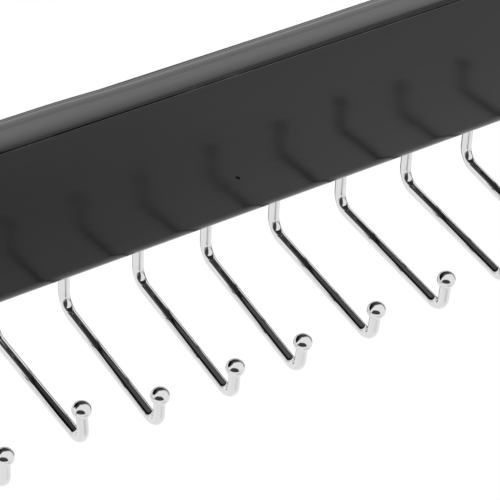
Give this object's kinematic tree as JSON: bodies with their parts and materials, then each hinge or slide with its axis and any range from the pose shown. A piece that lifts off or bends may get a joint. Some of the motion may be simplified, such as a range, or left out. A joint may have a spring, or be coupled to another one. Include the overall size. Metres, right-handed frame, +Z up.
{
  "type": "tie hanger",
  "caption": "Straight black lacquered wooden bar with a row of forward-facing chromed wire hooks for neckties, hung from a swivel hook over a wardrobe rail.",
  "frame": {"origin": "inside top of the swivel hook's loop, where it bears on the rail, above the middle of the bar", "axes": "+X along the bar, -Y the way the tie hooks point, +Z up"},
  "size_m": [0.45, 0.0569, 0.1435],
  "materials": {
    "black_lacquered_wood": "satin black lacquer on wood",
    "chrome_plate": "bright chrome plate on steel wire",
    "plain_steel": "plain steel"
  },
  "bodies": {
    "rail_hook": {"swivel_hook": "chrome_plate"},
    "tie_bar": {"bar": "black_lacquered_wood", "hook_ferrule": "chrome_plate", "thrust_washer": "plain_steel", "tie_hook_01": "chrome_plate", "tie_hook_02": "chrome_plate", "tie_hook_03": "chrome_plate", "tie_hook_04": "chrome_plate", "tie_hook_05": "chrome_plate", "tie_hook_06": "chrome_plate", "tie_hook_07": "chrome_plate", "tie_hook_08": "chrome_plate", "tie_hook_09": "chrome_plate", "tie_hook_10": "chrome_plate", "tie_hook_11": "chrome_plate", "tie_hook_12": "chrome_plate", "tie_hook_13": "chrome_plate", "tie_hook_14": "chrome_plate", "tie_hook_15": "chrome_plate", "tie_hook_16": "chrome_plate", "tie_hook_17": "chrome_plate", "tie_hook_18": "chrome_plate", "tie_hook_19": "chrome_plate", "tie_hook_20": "chrome_plate"}
  },
  "joints": [
    {"name": "swivel", "type": "hinge", "parent": "rail_hook", "child": "tie_bar", "pos_m": [0, 0, -0.06799], "axis": [0, 0, 1], "continuous": true}
  ]
}
